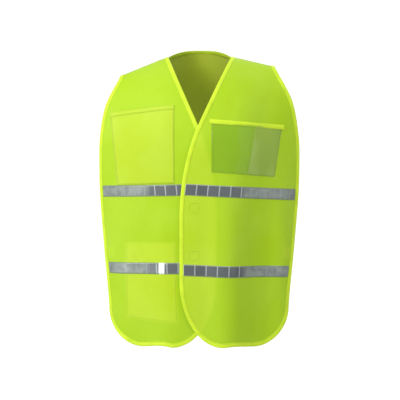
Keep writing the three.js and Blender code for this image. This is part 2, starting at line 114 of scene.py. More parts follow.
def spline(points, count):
    """A Catmull-Rom curve through points, at even steps of its parameter."""
    pts = np.array(points, float)
    t = np.linspace(0, len(pts) - 1, count + 1)
    i = np.minimum(t.astype(int), len(pts) - 2)
    f = (t - i)[:, None]
    p0, p1 = pts[np.maximum(i - 1, 0)], pts[i]
    p2, p3 = pts[i + 1], pts[np.minimum(i + 2, len(pts) - 1)]
    v0, v1 = (p2 - p0) / 2, (p3 - p1) / 2
    return (2 * p1 - 2 * p2 + v0 + v1) * f**3 + (3 * p2 - 3 * p1 - 2 * v0 - v1) * f**2 + v0 * f + p1


class Side:
    """One side of the vest: how its shoulder and side edge run."""

    def __init__(self, hand, shoulder_half, shoulder_drop, full_z):
        self.hand = hand
        self.shoulder_half = shoulder_half * MM
        self.drop = shoulder_drop * MM
        full = full_z * MM
        profile = [
            (self.shoulder_half, 0.04 - self.drop),
            (self.shoulder_half, -self.drop),
            (mix(self.shoulder_half, CHEST_HALF, 0.7), mix(-self.drop, full, 0.5)),
            (mix(self.shoulder_half, CHEST_HALF, 0.97), full),
            (CHEST_HALF, CHEST_Z),
            (mix(CHEST_HALF, HEM_HALF, 0.1), mix(CHEST_Z, HEM_Z, 0.2)),
            (mix(CHEST_HALF, HEM_HALF, 0.45), mix(CHEST_Z, HEM_Z, 0.49)),
            (mix(CHEST_HALF, HEM_HALF, 0.8), mix(CHEST_Z, HEM_Z, 0.75)),
            (HEM_HALF, HEM_Z),
        ]
        self.samples = spline(profile, 160)[::-1]

    def half(self, z):
        return np.interp(z, self.samples[:, 1], self.samples[:, 0])

    def ridge(self, across):
        """Height of the shoulder line at a distance from the centre line."""
        slope = self.drop / (self.shoulder_half - NECK_HALF)
        past = across - NECK_HALF
        eased = np.maximum(0, past + NECK_EASE) ** 2 / (4 * NECK_EASE)
        return -slope * np.where(past > NECK_EASE, past, eased)


LEFT = Side(1, 176, 24, -185)
RIGHT = Side(-1, 186, 46, -185)


def fallen(down, power=ROUND_POWER):
    return np.where(down < 1, np.maximum(down, 0) ** power, 1 + ROUND_POWER * (down - 1))


def down_at(share):
    return np.where(share < 1, np.maximum(share, 0) ** (1 / ROUND_POWER), 1 + (share - 1) / ROUND_POWER)


def forward(down):
    return np.sin(math.pi / 2 * np.clip(down, -1, 1))


def wrap(x):
    return np.abs(x / CHEST_HALF) ** WRAP_POWER


# ---------- Panels ----------


def front_folds(side, x, z):
    """How far a front's cloth stands out from the form: long soft folds that hang from the chest."""
    if side is LEFT:
        hang = smooth((-z - 0.20) / 0.28)
        ridge = 10.0 * bump((x - 0.066) / 0.060)
        valley = -9.5 * bump((x - 0.140) / 0.062)
        flare = 4.5 * bump((x - 0.196) / 0.045)
        upper = 2.2 * bump((x - 0.120 - 0.25 * (z + 0.1)) / 0.05) * bump((z + 0.13) / 0.16)
        return (hang * (ridge + valley + flare) + upper) * MM
    hang = smooth((-z - 0.18) / 0.30)
    ridge = 3.0 * bump((x + 0.060) / 0.055)
    valley = -3.5 * bump((x + 0.120) / 0.05)
    flare = 3.5 * bump((x + 0.180) / 0.05)
    upper = 1.8 * bump((x + 0.105 + 0.3 * (z + 0.1)) / 0.045) * bump((z + 0.12) / 0.14)
    return (hang * (ridge + valley + flare) + upper) * MM


def back_folds(x, z):
    hang = smooth((-z - 0.12) / 0.35)
    waves = 4.5 * np.sin(x / 0.036 + 0.6) + 2.5 * np.sin(x / 0.021 - z * 3)
    blades = 3.5 * (bump((x - 0.10) / 0.08) + bump((x + 0.10) / 0.08)) * bump((z + 0.19) / 0.14)
    return (hang * waves * bump(x / 0.26) + blades) * MM


def ripples(x, z):
    """Faint unevenness of hanging knit cloth."""
    a = np.sin(x * 61 + 1.7 * np.sin(z * 17)) * np.sin(z * 23 + x * 11)
    b = np.sin(x * 140 + z * 35 + 2 * np.sin(z * 31)) * np.sin(z * 52 - x * 24)
    return (0.5 * a + 0.22 * b) * MM


class Front:
    """A front panel. "Across" is the distance from the centre line towards its own side."""

    def __init__(self, side, lift):
        self.side, self.turn, self.lift = side, -side.hand, lift

    def points(self, across, down):
        fade = 1 - smooth((across - LIFT_FULL) / (LIFT_GONE - LIFT_FULL))
        x = self.side.hand * across
        z = self.side.ridge(across) - FRONT_FALL * fallen(down)
        depth = FRONT_DEPTH - FRONT_WRAP * wrap(across) + self.lift * fade
        loose = (front_folds(self.side, x, z) + ripples(x, z)) * smooth(down / 0.5)
        risen = 0.17 * loose * smooth((-z - 0.55) / 0.1)  # cloth that stands out at the hem hangs higher
        return np.stack([x, -SHOULDER_GAP - depth * forward(down) - loose, z + risen], -1)

    def at(self, across, z):
        return across, down_at((self.side.ridge(across) - z) / FRONT_FALL)


class Back:
    """The back panel. "Across" runs from side edge to side edge and is x at the widest line."""

    turn = 1

    def top_edge(self, across):
        share = np.abs(across) / CHEST_HALF
        s = np.minimum(share / NECK_SHARE, 1)
        along = np.maximum(0, (share - NECK_SHARE) / (1 - NECK_SHARE))
        left = across >= 0
        half = np.where(left, LEFT.shoulder_half, RIGHT.shoulder_half)
        x = np.where(share < NECK_SHARE, NECK_HALF * s, mix(NECK_HALF, half, along))
        ridge = np.where(left, LEFT.ridge(x), RIGHT.ridge(x))
        ridge_at_neck = np.where(left, LEFT.ridge(NECK_HALF), RIGHT.ridge(NECK_HALF))
        z = np.where(share < NECK_SHARE, mix(NECK_RISE, ridge_at_neck, s**2.6), ridge)
        return x * np.sign(across), NECK_SET_BACK * (1 - s * s), z

    def points(self, across, down):
        top_x, top_y, top_z = self.top_edge(across)
        power = mix(ROUND_POWER, 1, top_y / NECK_SET_BACK)
        z = top_z * (1 - smooth(down)) - BACK_FALL * fallen(down, power)
        left = across >= 0
        half = np.where(left, LEFT.half(z), RIGHT.half(z))
        grown = half / np.where(left, LEFT.shoulder_half, RIGHT.shoulder_half)
        x = mix(top_x * grown, across / CHEST_HALF * half, smooth(down))
        depth = BACK_DEPTH - BACK_WRAP * wrap(x)
        loose = (back_folds(x, z) + ripples(x, z)) * smooth(down / 0.6)
        return np.stack([x, SHOULDER_GAP + mix(top_y, depth, forward(down)) + loose, z], -1)

    def at(self, x, z):
        half = np.where(x < 0, RIGHT.half(z), LEFT.half(z))
        return x / half * CHEST_HALF, down_at(-z / BACK_FALL) + 0 * x


LEFT_FRONT = Front(LEFT, OVERLAP_LIFT)
RIGHT_FRONT = Front(RIGHT, 0)
BACK = Back()


def unit(v):
    return v / np.maximum(np.linalg.norm(v, axis=-1, keepdims=True), 1e-12)


def directions(panel, p, q):
    """A panel's points, the two directions along it there, and the way out of the cloth."""
    e = 2e-5
    here = panel.points(p, q)
    across = (panel.points(p + e, q) - here) / e
    down = (panel.points(p, q + 10 * e) - here) / (10 * e)
    return here, across, down, unit(np.cross(across, down)) * panel.turn


def place(panel, p, q, off):
    here, _, _, out = directions(panel, p, q)
    return here + out * np.asarray(off)[..., None]


def aside(panel, p, q, distance):
    """Moves the points of an edge sideways within the cloth, to the left when walking along it."""
    along = unit(np.gradient(panel.points(p, q), axis=0))
    shoulder = np.zeros(len(p), bool)
    shoulder[[0, -1]] = q[[0, -1]] < 1e-3
    parts = max(1, int(abs(distance) / 0.003))
    for _ in range(parts):
        _, across, down, out = directions(panel, p, q)
        step = unit(np.cross(out, along)) * distance / parts
        a, b, c = (across * across).sum(-1), (across * down).sum(-1), (down * down).sum(-1)
        f, g = (across * step).sum(-1), (down * step).sum(-1)
        p = p + (c * f - b * g) / (a * c - b * b)
        q = np.where(shoulder, 0, np.maximum(0, q + (a * g - b * f) / (a * c - b * b)))
    return p, q


def length_of(pts):
    """The distance along a line of points to each of them."""
    return np.concatenate([[0], np.cumsum(np.linalg.norm(np.diff(pts, axis=0), axis=1))])


def evenly(panel, p, q, count):
    """The same edge with points at even distances along the cloth."""
    length = length_of(panel.points(p, q))
    at = np.linspace(0, length[-1], count)
    return np.interp(at, length, p), np.interp(at, length, q)


# ---------- Outlines ----------


def front_edge(z):
    neck = mix(NECK_HALF, NECK_V[0], z / NECK_V[1])
    settled = mix(NECK_V[0], -OVERLAP_HALF, 1 - (1 - clamp01((NECK_V[1] - z) / EDGE_SETTLE)) ** 2)
    return np.where(z > NECK_V[1], neck, settled)


def front_outline(panel):
    """Neck and front edge, hem, and side edge of a front, as (across, down) points."""
    side = panel.side
    t = np.linspace(0, 1, 90)
    quarter = np.linspace(0, math.pi / 2, 25)
    low_in, low_out = HEM_Z + INNER_CORNER[1], HEM_Z + OUTER_CORNER[1]
    z = low_in * t**1.5
    neck = np.stack([front_edge(z), z], -1)
    turn_in, turn_out = 1 - np.cos(quarter), 1 - np.sin(quarter)
    inner_x = INNER_CORNER[0] * turn_in - OVERLAP_HALF
    inner = np.stack([inner_x, low_in - INNER_CORNER[1] * np.sin(quarter)], -1)
    outer_x = side.half(low_out) - OUTER_CORNER[0] * turn_out
    outer = np.stack([outer_x, low_out - OUTER_CORNER[1] * np.cos(quarter)], -1)
    z = mix(-side.drop, low_out, t**1.5)
    up = np.stack([side.half(z), z], -1)[::-1]
    start = np.concatenate([neck, inner[1:13]])
    hem = np.concatenate([inner[12:], outer[:13]])
    end = np.concatenate([outer[12:-1], up])
    return [np.stack(panel.at(e[:, 0], e[:, 1]), -1) for e in (start, hem, end)]


def back_outline(panel):
    """Left side edge, hem and right side edge of the back, as (across, down) points."""
    quarter = np.linspace(0, math.pi / 2, 25)
    low = HEM_Z + OUTER_CORNER[1]
    down_low = panel.at(np.array([0.0]), np.array([low]))[1][0]
    q = down_low * np.linspace(0, 1, 90) ** 1.5
    parts = []
    for side in (LEFT, RIGHT):
        x = side.hand * (side.half(low) - OUTER_CORNER[0] * (1 - np.cos(quarter)))
        corner = np.stack(panel.at(x, low - OUTER_CORNER[1] * np.sin(quarter)), -1)
        edge = np.stack([np.full_like(q, side.hand * CHEST_HALF), q], -1)
        parts.append((edge, corner))
    (left, left_corner), (right, right_corner) = parts
    start = np.concatenate([left, left_corner[1:13]])
    hem = np.concatenate([left_corner[12:], right_corner[:11:-1]])
    end = np.concatenate([right_corner[12:0:-1], right[::-1]])
    return start, hem, end


# ---------- Mesh making ----------

MATERIALS = {}


def new_object(name, verts, faces, material, layers=None, uv=None, smooth_faces=True):
    """An object from points and lists of corners, with values and a place on the cloth at each point."""
    mesh = bpy.data.meshes.new(name)
    mesh.from_pydata(np.asarray(verts).tolist(), [], faces)
    if uv is not None:
        loops = np.empty(len(mesh.loops), np.int64)
        mesh.loops.foreach_get("vertex_index", loops)
        layer = mesh.uv_layers.new(name="cloth")
        layer.data.foreach_set("uv", np.asarray(uv, np.float32).reshape(-1, 2)[loops].ravel())
    for key, values in (layers or {}).items():
        data = mesh.attributes.new(key, "FLOAT", "POINT").data
        data.foreach_set("value", np.asarray(values, np.float32))
    if smooth_faces:
        mesh.polygons.foreach_set("use_smooth", [True] * len(mesh.polygons))
    mesh.materials.append(material)
    mesh.update()
    obj = bpy.data.objects.new(name, mesh)
    bpy.context.scene.collection.objects.link(obj)
    return obj


def facing_out(verts, quads):
    """The quads, turned round if they enclose their solid inside out."""
    a, b, c, d = (verts[quads[:, i]] for i in range(4))
    volume = (a * np.cross(b, c)).sum() + (a * np.cross(c, d)).sum()
    return quads if volume > 0 else quads[:, ::-1]


def grid_faces(rows, columns, offset=0):
    r, c = np.meshgrid(np.arange(rows - 1), np.arange(columns - 1), indexing="ij")
    a = (r * columns + c).ravel() + offset
    return np.stack([a, a + 1, a + columns + 1, a + columns], -1)


def shell(name, outer, inner, material, layers=None, uv=None):
    """A closed sheet between two grids of points, (rows, columns, 3)."""
    rows, columns = outer.shape[:2]
    verts = np.concatenate([outer.reshape(-1, 3), inner.reshape(-1, 3)])
    half = rows * columns
    top = grid_faces(rows, columns)
    there, back = np.arange(columns), half - 2 - np.arange(columns - 1)
    down, up = np.arange(2, rows + 1) * columns - 1, np.arange(rows - 2, 0, -1) * columns
    rim = np.concatenate([there, down, back, up])
    following = np.roll(rim, -1)
    sides = np.stack([rim, rim + half, following + half, following], -1)
    faces = facing_out(verts, np.concatenate([top, top[:, ::-1] + half, sides]))
    twice = lambda values: np.concatenate([np.asarray(values).reshape(half, -1)] * 2)
    layers = {key: twice(values)[:, 0] for key, values in (layers or {}).items()}
    layers["inside"] = np.repeat([0, 1], half)
    uv = None if uv is None else twice(uv)
    return new_object(name, verts, faces.tolist(), material, layers, uv)


def slab(name, panel, p, q, low, high, material, layers=None, uv=None):
    """A closed sheet over a grid of a panel's points, between two distances off the panel."""
    return shell(name, place(panel, p, q, high), place(panel, p, q, low), material, layers, uv)


def patch(top, bottom, start, end):
    """A grid of (across, down) points between four edges that meet at their ends."""
    t = np.linspace(0, 1, len(start))[:, None, None]
    u = np.linspace(0, 1, len(top))[None, :, None]
    ruled = mix(start[:, None], end[:, None], u) + mix(top[None], bottom[None], t)
    corners = mix(mix(top[0], top[-1], u), mix(bottom[0], bottom[-1], u), t)
    both = ruled - corners
    return both[..., 0], np.maximum(both[..., 1], 0)


def tube_faces(count, n):
    """The sides of a tube of count rings with n points each."""
    i, j = np.meshgrid(np.arange(count - 1), np.arange(n), indexing="ij")
    k = (j + 1) % n
    return np.stack([i * n + j, i * n + k, (i + 1) * n + k, (i + 1) * n + j], -1).reshape(-1, 4)


def sweep(name, rings, material, uv):
    """A closed tube from rings of points, (count, points in a ring, 3)."""
    count, n = rings.shape[:2]
    verts = rings.reshape(-1, 3)
    quads = tube_faces(count, n)
    faces = quads.tolist() + [list(range(n))[::-1], list(range((count - 1) * n, count * n))]
    if facing_out(verts, quads) is not quads:
        faces = [face[::-1] for face in faces]
    return new_object(name, verts, faces, material, uv=uv)


# The section of a folded binding: [distance in from the fold, height off the panel], in mm.
BINDING_SECTION = [
    (12.0, 1.02),
    (11.9, 1.38),
    (11.2, 1.62),
    (9.8, 1.55),
    (8.6, 1.78),
    (6.0, 2.02),
    (3.4, 1.98),
    (1.4, 1.66),
    (0.35, 1.12),
    (0.15, 0.5),
    (0.35, -0.05),
    (1.4, -0.55),
    (3.4, -0.85),
    (6.0, -0.9),
    (8.6, -0.7),
    (9.8, -0.46),
    (11.2, -0.5),
    (11.9, -0.3),
    (12.0, 0.05),
    (1.1, 0.1),
    (1.1, 0.95),
]


def binding(name, panel, p, q, inwards, lift=0.0, width=BINDING_WIDTH, material="binding"):
    """A folded binding round an edge, puckered by its seam."""
    along = length_of(panel.points(p, q))
    seed = len(name)
    pucker = np.sin(along / 0.0052 + 1.1 * np.sin(along / 0.021 + seed))
    slow = np.sin(along / 0.034 + seed) + 0.6 * np.sin(along / 0.013 + 2 * seed)
    rings = []
    for distance, off in BINDING_SECTION:
        middle = 0.5
        puff = 1 + (0.09 * pucker + 0.07 * slow) * (1 if 1.2 < distance < 11 else 0.3)
        height = middle + (off - middle) * puff + lift
        inset = distance * (width / (12 * MM)) + 0.12 * slow
        moved = aside(panel, p, q, inwards * np.mean(inset) * MM)
        rings.append(place(panel, *moved, height * MM))
    rings = np.stack(rings, 1)
    around = length_of(np.array([(d * MM, o * MM) for d, o in BINDING_SECTION]))
    uv = np.stack(np.broadcast_arrays(along[:, None], around[None, :]), -1)
    return sweep(name, rings, MATERIALS[material], uv)


STITCH_SPACING, STITCH_LENGTH, STITCH_RADIUS = 4.0 * MM, 3.1 * MM, 0.26 * MM


def stitches(name, runs):
    """Thread stitches along runs of (points, normals), joined into one mesh."""
    angles = np.linspace(0, 2 * math.pi, 6, endpoint=False)
    swell_at = np.array([0.0, 0.12, 0.5, 0.88, 1.0])
    swell = np.array([0.25, 0.9, 1.0, 0.9, 0.25]) * STITCH_RADIUS
    sunk = STITCH_RADIUS * (1.1 * np.sin(math.pi * swell_at) - 0.35)
    rings = []
    for pts, out in runs:
        along = length_of(pts)
        starts = np.arange(STITCH_SPACING / 2, along[-1] - STITCH_LENGTH, STITCH_SPACING)
        at = starts[:, None] + swell_at * STITCH_LENGTH
        centre = np.stack([np.interp(at, along, pts[:, i]) for i in range(3)], -1)
        ahead = np.stack([np.interp(at + 1e-4, along, pts[:, i]) for i in range(3)], -1) - centre
        normal = unit(np.stack([np.interp(at, along, out[:, i]) for i in range(3)], -1))
        across = unit(np.cross(normal, ahead))
        centre = centre + normal * sunk[None, :, None]
        wide = swell[None, :, None, None]
        turn = np.cos(angles)[:, None] * across[:, :, None] + np.sin(angles)[:, None] * normal[:, :, None]
        rings.append(centre[:, :, None] + wide * turn)
    verts = np.concatenate(rings)
    n = len(angles)
    base = (np.arange(len(verts)) * n * len(swell_at))[:, None, None]
    faces = (base + tube_faces(len(swell_at), n)[None]).reshape(-1, 4).tolist()
    last = (len(swell_at) - 1) * n
    for b in base.ravel().tolist():
        faces.append([b + i for i in reversed(range(n))])
        faces.append([b + last + i for i in range(n)])
    return new_object(name, verts.reshape(-1, 3), faces, MATERIALS["thread"])


def run_on(panel, p, q, off):
    """The points and outward normals of a stitch line on a panel."""
    here, _, _, out = directions(panel, p, q)
    return here + out * off, out


def run_under(panel, p, q, off):
    """The same on the panel's inner face."""
    pts, out = run_on(panel, p, q, off)
    return pts, -out


# ---------- Materials ----------


class Nodes:
    """A material's node tree, with short ways to add and link nodes."""

    def __init__(self, name):
        self.material = bpy.data.materials.new(name)
        self.material.use_nodes = True
        self.tree = self.material.node_tree
        self.tree.nodes.clear()
        self.output = self.tree.nodes.new("ShaderNodeOutputMaterial")

    def add(self, kind, inputs=None, **settings):
        node = self.tree.nodes.new("ShaderNode" + kind)
        for key, value in settings.items():
            setattr(node, key, value)
        for key, value in (inputs or {}).items():
            if isinstance(value, bpy.types.NodeSocket):
                self.tree.links.new(value, node.inputs[key])
            else:
                node.inputs[key].default_value = value
        return node

    def math(self, operation, a, b=0.0):
        return self.add("Math", {0: a, 1: b}, operation=operation).outputs[0]

    def wave(self, value, period):
        return self.math("SINE", self.math("MULTIPLY", value, 2 * math.pi / period))

    def colours(self, factor, a, b):
        return self.add("Mix", {0: factor, 6: a, 7: b}, data_type="RGBA").outputs[2]

    def value_at_points(self, name):
        return self.add("Attribute", attribute_name=name).outputs["Fac"]

    def on_cloth(self):
        """The two distances along the cloth, in metres."""
        uv = self.add("UVMap", uv_map="cloth").outputs[0]
        parts = self.add("SeparateXYZ", {"Vector": uv})
        return parts.outputs[0], parts.outputs[1]

    def relief(self, height, strength, distance, invert=False):
        inputs = {"Height": height, "Strength": strength, "Distance": distance}
        return self.add("Bump", inputs, invert=invert).outputs[0]

    def ramp(self, value, low, high):
        node = self.add("MapRange", {"Value": value, "From Min": low, "From Max": high}, clamp=True)
        return node.outputs[0]

    def place(self):
        return self.add("TexCoord").outputs["Object"]

    def noise(self, scale, detail=2.0):
        inputs = {"Scale": scale, "Detail": detail, "Vector": self.place()}
        return self.add("TexNoise", inputs).outputs[0]

    def finish(self, inputs):
        """The finished material, a principled shader with these inputs."""
        shader = self.add("BsdfPrincipled", inputs).outputs[0]
        self.tree.links.new(shader, self.output.inputs["Surface"])
        return self.material


WALE = 1.3 * MM  # between the ribs of the knit


def knit_height(n):
    """Fine ribs of a warp knit down the cloth, crossed by smaller loops."""
    u, v = n.on_cloth()
    rib = n.wave(u, 2 * WALE)
    turns = n.math("MULTIPLY", v, 2 * math.pi / (0.9 * WALE))
    loops = n.math("SINE", n.math("ADD", turns, n.math("MULTIPLY", rib, 0.8)))
    return n.math("ADD", n.math("ABSOLUTE", rib), n.math("MULTIPLY", loops, 0.35))


def cloth_material(name, single_layer_shade, double_layer_light, glow=0.1):
    """Fluorescent knit, with painted light and shade: greener and darker where one layer shows the dark
    inside through it, lighter where another layer lies behind it, and darker on its inside face.
    """
    n = Nodes(name)
    cloudy = n.ramp(n.noise(9.0, 3.0), 0.3, 0.7)
    speckle = n.ramp(n.noise(900.0, 1.0), 0.25, 0.75)
    # Painted light and shade: one layer darker and greener, lighter where another layer lies behind.
    outer = n.colours(n.value_at_points("double_layer_light"), single_layer_shade, double_layer_light)
    # Painted shade: the inside face in a darker olive.
    colour = n.colours(n.value_at_points("inside"), outer, INSIDE_SHADE)
    darker = n.add("HueSaturation", {"Value": 0.93, "Saturation": 1.04, "Color": colour}).outputs[0]
    colour = n.colours(cloudy, darker, colour)
    fine = n.add("HueSaturation", {"Value": 0.94, "Color": colour}).outputs[0]
    colour = n.colours(speckle, fine, colour)
    return n.finish(
        {
            "Base Color": colour,
            "Roughness": 0.78,
            "Specular IOR Level": 0.25,
            "Sheen Weight": 0.2,
            "Sheen Roughness": 0.5,
            # Painted light: a little glow of its own, whatever the lamps, in place of the fluorescence that
            # the lamps bring out.
            "Emission Color": colour,
            "Emission Strength": glow,
            "Normal": n.relief(knit_height(n), 0.35, 0.12 * MM),
        }
    )


def thread_material():
    n = Nodes("thread")
    # Real thread, painted dark olive so that its dashes also stand for the shadow in the gap along the
    # bindings.
    colour = n.colours(n.noise(300.0), (0.20, 0.33, 0.012, 1), (0.30, 0.46, 0.02, 1))
    return n.finish({"Base Color": colour, "Roughness": 0.55, "Sheen Weight": 0.2})


def binding_material(name, tone=1.0):
    """Smooth folded tape with a fine rib across it. A tone below 1 paints it darker, as shade."""
    n = Nodes(name)
    rib = n.wave(n.on_cloth()[0], 0.9 * MM)
    cloudy = n.ramp(n.noise(40.0, 3.0), 0.3, 0.7)
    colour = n.colours(cloudy, (0.50, 0.69, 0.02, 1), (0.60, 0.79, 0.025, 1))
    colour = n.add("HueSaturation", {"Value": tone, "Color": colour}).outputs[0]
    return n.finish(
        {
            "Base Color": colour,
            "Roughness": 0.6,
            "Specular IOR Level": 0.3,
            "Sheen Weight": 0.06,
            # Painted light: the binding glows a little of its own, whatever the lamps.
            "Emission Color": colour,
            "Emission Strength": 0.13,
            "Normal": n.relief(rib, 0.3, 0.08 * MM),
        }
    )


def reflective_material():
    """Prismatic tape: square cells of fine prisms under clear plastic, with welded lines between.

    The attributes glare and glint paint a broken lighter reflection and a white highlight on it, at fixed
    places along the tape."""
    n = Nodes("reflective")
    u, v = n.on_cloth()
    cells, height_share = n.math("DIVIDE", u, TAPE_WIDTH), n.math("DIVIDE", v, TAPE_WIDTH)
    from_middle = n.math("ABSOLUTE", n.math("SUBTRACT", n.math("FRACT", cells), 0.5))
    line = n.ramp(from_middle, 0.44, 0.47)
    border = n.ramp(n.math("ABSOLUTE", n.math("SUBTRACT", height_share, 0.5)), 0.41, 0.435)
    welded = n.math("MAXIMUM", line, border)
    cell = n.add("TexWhiteNoise", {"W": n.math("FLOOR", cells)}, noise_dimensions="1D")
    prism = 2.4 * MM
    rising, falling = n.math("ADD", u, v), n.math("SUBTRACT", u, v)
    facets = n.math("MULTIPLY", n.wave(rising, 2 * prism), n.wave(falling, 2 * prism))
    dark = n.colours(cell.outputs[0], (0.042, 0.052, 0.060, 1), (0.085, 0.102, 0.110, 1))
    lit = n.colours(n.ramp(facets, -0.7, 0.7), dark, (0.15, 0.17, 0.175, 1))
    # Painted reflection: where glare is set, the cells are lightened in broken waves and the lines toned
    # down.
    glare = n.value_at_points("glare")
    waves = n.ramp(n.noise(70.0, 3.0), 0.40, 0.60)
    broken = n.math("MULTIPLY", glare, n.math("ADD", 0.5, n.math("MULTIPLY", waves, 0.5)))
    lit = n.colours(broken, lit, (0.275, 0.32, 0.29, 1))
    line_tone = n.colours(glare, (0.42, 0.46, 0.46, 1), (0.28, 0.325, 0.30, 1))
    colour = n.colours(line, n.colours(border, lit, (0.24, 0.27, 0.27, 1)), line_tone)
    # Painted highlight: white where glint is set.
    colour = n.colours(n.value_at_points("glint"), colour, (0.95, 0.97, 0.95, 1))
    height = n.math("ADD", n.math("MULTIPLY", welded, -0.6), n.math("MULTIPLY", facets, 0.12))
    return n.finish(
        {
            "Base Color": colour,
            "Roughness": 0.45,
            "Metallic": 0.2,
            "Coat Weight": 0.6,
            "Coat Roughness": 0.14,
            "Normal": n.relief(height, 0.5, 0.2 * MM),
        }
    )


def vinyl_material():
    """Clear soft vinyl with faint smears, clouded where it stands off the cloth by its outer side."""
    n = Nodes("vinyl")
    across, drop = n.on_cloth()
    # The cloud's inner border slants: 128 mm from the centre line at 160 mm down.
    slant = n.math("MULTIPLY", n.math("SUBTRACT", drop, 160 * MM), -0.16)
    past_border = n.math("SUBTRACT", across, n.math("ADD", slant, 128 * MM))
    haze = n.ramp(past_border, -1.5 * MM, 1.5 * MM)
    smear = n.ramp(n.noise(22.0, 4.0), 0.35, 0.75)
    return n.finish(
        {
            "Base Color": n.colours(haze, (0.26, 0.50, 0.012, 1), (0.42, 0.60, 0.09, 1)),
            "Roughness": n.math("ADD", 0.09, n.math("MULTIPLY", smear, 0.10)),
            "Alpha": n.math("ADD", 0.22, n.math("MULTIPLY", haze, 0.22)),
            "Specular IOR Level": 0.6,
            "Coat Weight": 0.5,
            "Coat Roughness": 0.06,
            "Normal": n.relief(n.noise(14.0, 2.0), 0.25, 2 * MM),
        }
    )


def fastener_material(name, scale, strength, colour):
    """Hook or loop tape: a close field of tiny points."""
    n = Nodes(name)
    from_point = n.add("TexVoronoi", {"Vector": n.place(), "Scale": scale}).outputs["Distance"]
    between = tuple(0.62 * c for c in colour[:3]) + (1,)
    tone = n.colours(n.ramp(from_point, 0.0, 0.6), colour, between)
    relief = n.relief(from_point, strength, 0.5 * MM, invert=True)
    return n.finish({"Base Color": tone, "Roughness": 0.75, "Normal": relief})


def elastic_material():
    """Ribbed elastic with its cords along the strap."""
    n = Nodes("elastic")
    u, v = n.on_cloth()
    ribs, weft = n.wave(v, 1.6 * MM), n.wave(u, 0.8 * MM)
    height = n.math("ADD", ribs, n.math("MULTIPLY", weft, 0.4))
    colour = n.colours(n.ramp(ribs, -1.0, 1.0), (0.40, 0.58, 0.03, 1), (0.56, 0.78, 0.05, 1))
    relief = n.relief(height, 0.5, 0.25 * MM)
    return n.finish({"Base Color": colour, "Roughness": 0.7, "Normal": relief})


# Colours of one layer of cloth, painted darker and greener as shade where the dark inside shows through; of
# cloth with another layer behind it and of pocket cloth, painted lighter as light through two layers; and
# of the inside face, painted darker as shade.
SINGLE_LAYER_SHADE = (0.40, 0.62, 0.022, 1)
DOUBLE_LAYER_LIGHT = (0.50, 0.68, 0.038, 1)
POCKET_LAYERED_LIGHT = (0.47, 0.64, 0.04, 1)
INSIDE_SHADE = (0.36, 0.44, 0.035, 1)

MATERIALS.update(
    cloth=cloth_material("cloth", SINGLE_LAYER_SHADE, DOUBLE_LAYER_LIGHT),
    # Painted light: the pocket cloth glows a little more than the panels.
    pocket=cloth_material("pocket_cloth", POCKET_LAYERED_LIGHT, POCKET_LAYERED_LIGHT, glow=0.12),
    binding=binding_material("binding"),
    # Painted shade: the back neck binding is darker, as it lies in the shade inside the neck.
    neck_binding=binding_material("neck_binding", 0.66),
    thread=thread_material(),
    reflective=reflective_material(),
    vinyl=vinyl_material(),
    hook=fastener_material("hook", 900, 0.8, (0.50, 0.72, 0.05, 1)),
    loop=fastener_material("loop", 600, 0.4, (0.54, 0.76, 0.06, 1)),
    elastic=elastic_material(),
)

# ---------- Panels of cloth ----------

GRID = 3.2 * MM
CLOTH_INSET = 1.4 * MM  # from the edge, inside the fold of its binding


def joined(parts):
    whole = np.concatenate([parts[0]] + [part[1:] for part in parts[1:]])
    return whole[:, 0], whole[:, 1]


def edge_of(panel, parts, distance):
    """The joined edges moved inwards, cut again where they were joined."""
    p, q = aside(panel, *joined(parts), distance)
    cuts = np.cumsum([len(parts[0])] + [len(part) - 1 for part in parts[1:]])
    first, out = 0, []
    for cut in cuts:
        out.append((p[first:cut], q[first:cut]))
        first = cut - 1
    return out


def steps_along(panel, p, q, step):
    return int(length_of(panel.points(p, q))[-1] / step)


def cloth_grid(panel, parts, distance, top_line):
    """A grid over a whole panel, from its side, hem and side edges and its top line."""
    (sp, sq), (hp, hq), (ep, eq) = edge_of(panel, parts, distance)
    rows = steps_along(panel, sp, sq, GRID) + 2
    columns = steps_along(panel, hp, hq, GRID) + 2
    start = np.stack(evenly(panel, sp, sq, rows), -1)
    end = np.stack(evenly(panel, ep, eq, rows), -1)[::-1]
    bottom = np.stack(evenly(panel, hp, hq, columns), -1)
    top = top_line(start[0], end[0], columns)
    return patch(top, bottom, start, end)


def shoulder_line(a, b, columns):
    return mix(a[None], b[None], np.linspace(0, 1, columns)[:, None]) * [1, 0]


def back_top_line(a, b, columns):
    """Shoulder, neck and shoulder of the back, the neck let in under its binding."""
    p = np.linspace(a[0], b[0], columns)
    fine = np.linspace(-NECK_SHARE, NECK_SHARE, 121) * CHEST_HALF
    _, in_q = aside(BACK, fine, np.zeros_like(fine), 4 * MM)
    ends = smooth((1 - np.abs(fine) / NECK_SHARE / CHEST_HALF) / 0.12)
    q = np.interp(p, fine, in_q * ends, left=0, right=0)
    return np.stack([p, q], -1)


def free_edge(z):
    """How far a front reaches past the centre line, its rounded corner included."""
    past = clamp01((HEM_Z + INNER_CORNER[1] - z) / INNER_CORNER[1])
    return front_edge(z) + INNER_CORNER[0] * (1 - np.sqrt(1 - past**2))


def within_sides(u, low_u, high_u, v, low_v, high_v, soft):
    """1 inside a shape's two pairs of sides, 0 outside it, with a soft border."""
    edge = np.minimum(np.minimum(u - low_u, high_u - u), np.minimum(v - low_v, high_v - v))
    return clamp01(edge / soft + 0.5)


STRAP_Z, STRAP_WIDTH, STRAP_SEWN, STRAP_INSET = -452 * MM, 25 * MM, 22 * MM, 4 * MM
FASTENER_SIZE, FASTENER_THICK, FASTENER_X = 24 * MM, 1.1 * MM, -8 * MM
FASTENER_HEIGHTS = {"upper": -350 * MM, "lower": -456.3 * MM}

